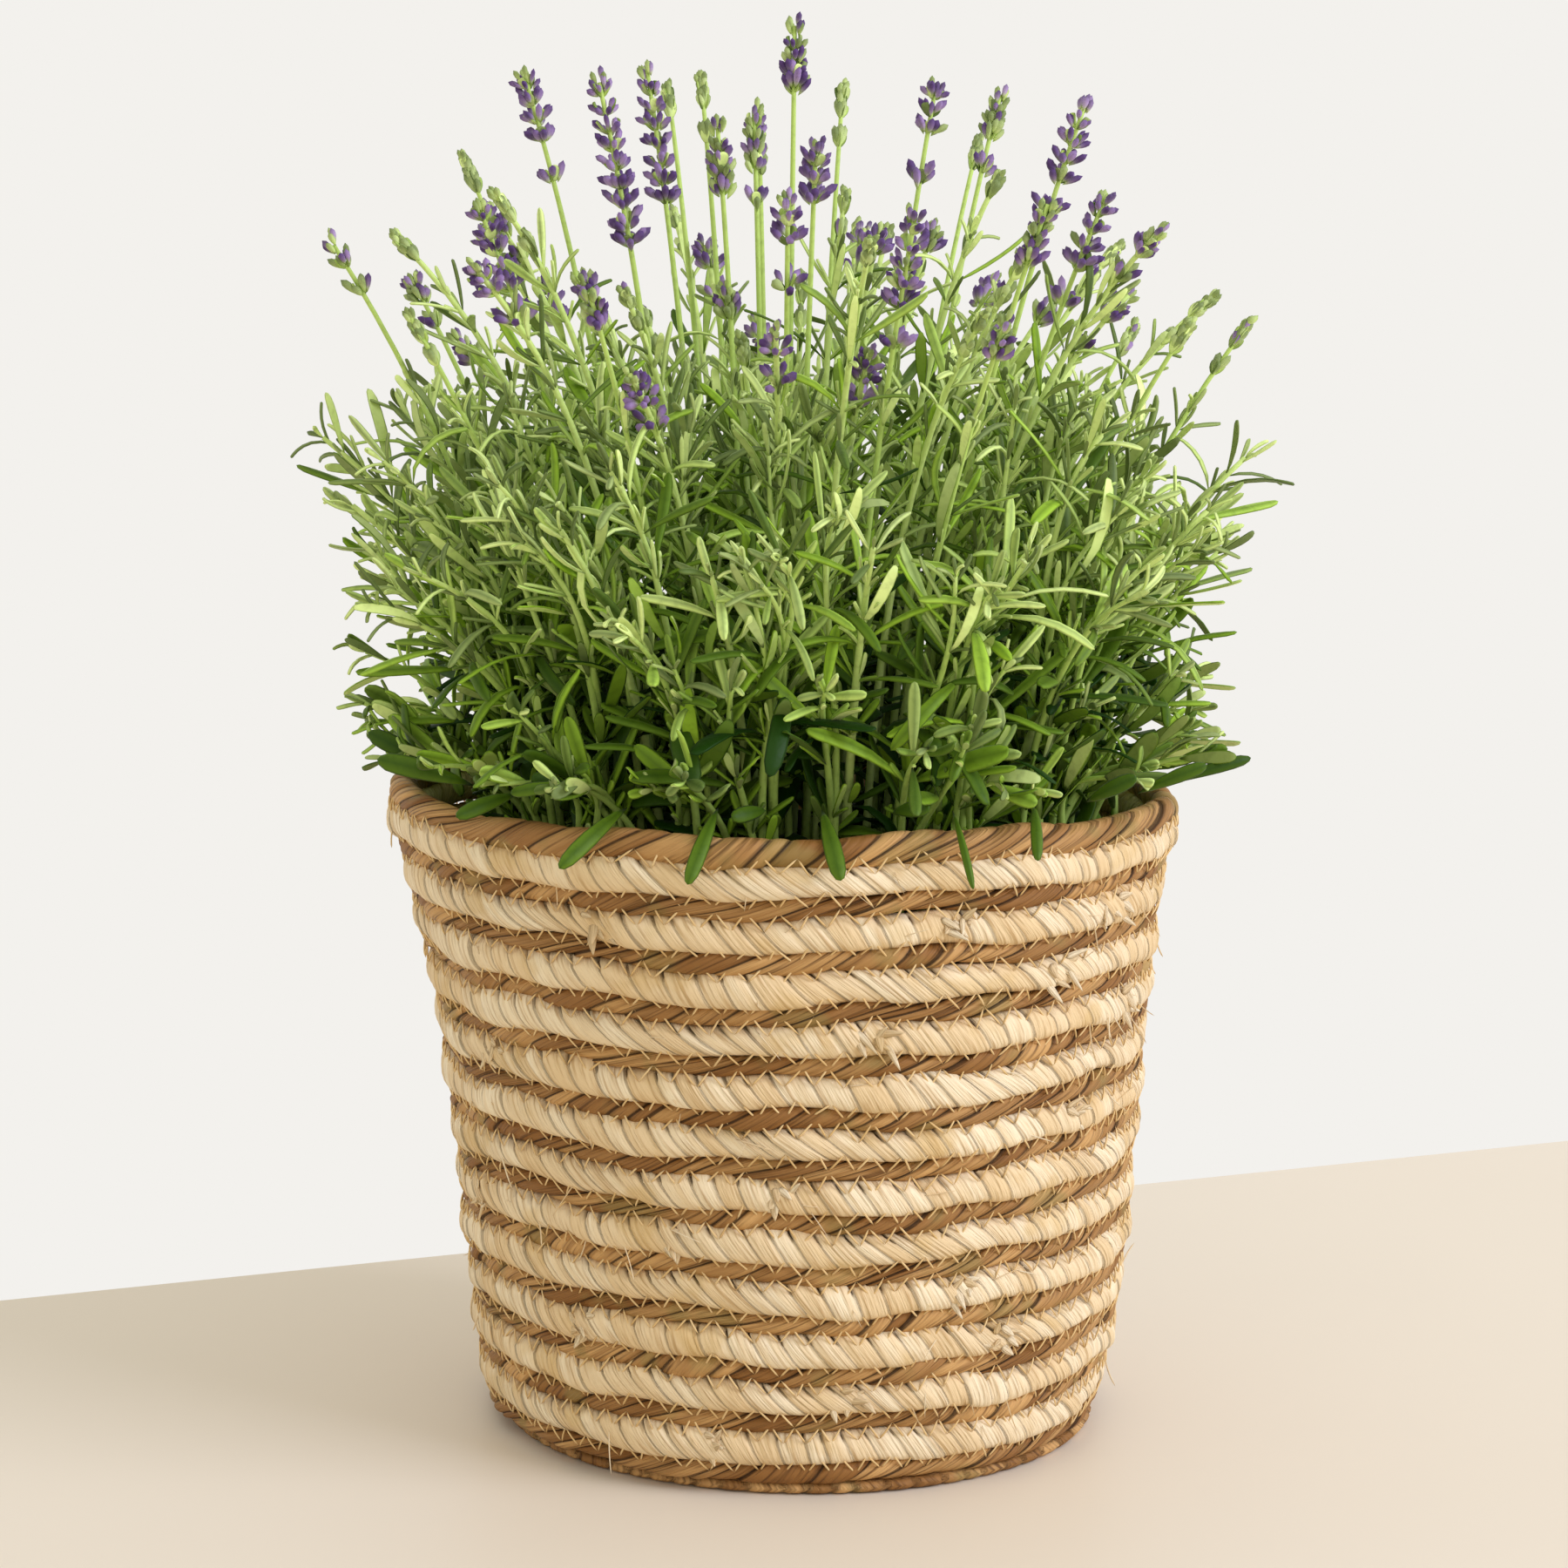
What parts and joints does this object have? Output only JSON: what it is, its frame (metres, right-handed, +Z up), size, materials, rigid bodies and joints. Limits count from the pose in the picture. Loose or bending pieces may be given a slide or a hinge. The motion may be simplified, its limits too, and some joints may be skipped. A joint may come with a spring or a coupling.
{
  "type": "potted lavender in a coiled basket",
  "caption": "Flowering lavender with leafy shoots in a nursery pot, standing in a tapered round basket coiled from cream husk and brown seagrass cord.",
  "frame": {"origin": "the middle of the basket's flat base, on the surface it stands on", "axes": "+Z up through the basket and plant, +X to the right and -Y towards the viewer; the hand-made wall leans a little towards -X as it rises"},
  "size_m": [0.3045, 0.282, 0.3828],
  "materials": {
    "cream_husk": "matte",
    "brown_seagrass": "satin",
    "nursery_plastic": "matte",
    "potting_soil": "matte",
    "flower_stalk": "matte",
    "leafy_shoot": "satin"
  },
  "bodies": {
    "root": {"basket_base": "brown_seagrass", "brown_seagrass_cord": "brown_seagrass", "cream_husk_cord": "cream_husk", "nursery_pot": "nursery_plastic", "potting_soil": "potting_soil", "flower_stalk_01": "flower_stalk", "flower_stalk_02": "flower_stalk", "flower_stalk_03": "flower_stalk", "flower_stalk_04": "flower_stalk", "flower_stalk_05": "flower_stalk", "flower_stalk_06": "flower_stalk", "flower_stalk_07": "flower_stalk", "flower_stalk_08": "flower_stalk", "flower_stalk_09": "flower_stalk", "flower_stalk_10": "flower_stalk", "flower_stalk_11": "flower_stalk", "flower_stalk_12": "flower_stalk", "flower_stalk_13": "flower_stalk", "flower_stalk_14": "flower_stalk", "flower_stalk_15": "flower_stalk", "flower_stalk_16": "flower_stalk", "flower_stalk_17": "flower_stalk", "flower_stalk_18": "flower_stalk", "flower_stalk_19": "flower_stalk", "flower_stalk_20": "flower_stalk", "flower_stalk_21": "flower_stalk", "flower_stalk_22": "flower_stalk", "flower_stalk_23": "flower_stalk", "flower_stalk_24": "flower_stalk", "flower_stalk_25": "flower_stalk", "flower_stalk_26": "flower_stalk", "flower_stalk_27": "flower_stalk", "flower_stalk_28": "flower_stalk", "flower_stalk_29": "flower_stalk", "flower_stalk_30": "flower_stalk", "flower_stalk_31": "flower_stalk", "leafy_shoot_01": "leafy_shoot", "leafy_shoot_02": "leafy_shoot", "leafy_shoot_03": "leafy_shoot", "leafy_shoot_04": "leafy_shoot", "leafy_shoot_05": "leafy_shoot", "leafy_shoot_06": "leafy_shoot", "leafy_shoot_07": "leafy_shoot", "leafy_shoot_08": "leafy_shoot", "leafy_shoot_09": "leafy_shoot", "leafy_shoot_10": "leafy_shoot", "leafy_shoot_11": "leafy_shoot", "leafy_shoot_12": "leafy_shoot", "leafy_shoot_13": "leafy_shoot", "leafy_shoot_14": "leafy_shoot", "leafy_shoot_15": "leafy_shoot", "leafy_shoot_16": "leafy_shoot", "leafy_shoot_17": "leafy_shoot", "leafy_shoot_18": "leafy_shoot"}
  },
  "joints": []
}
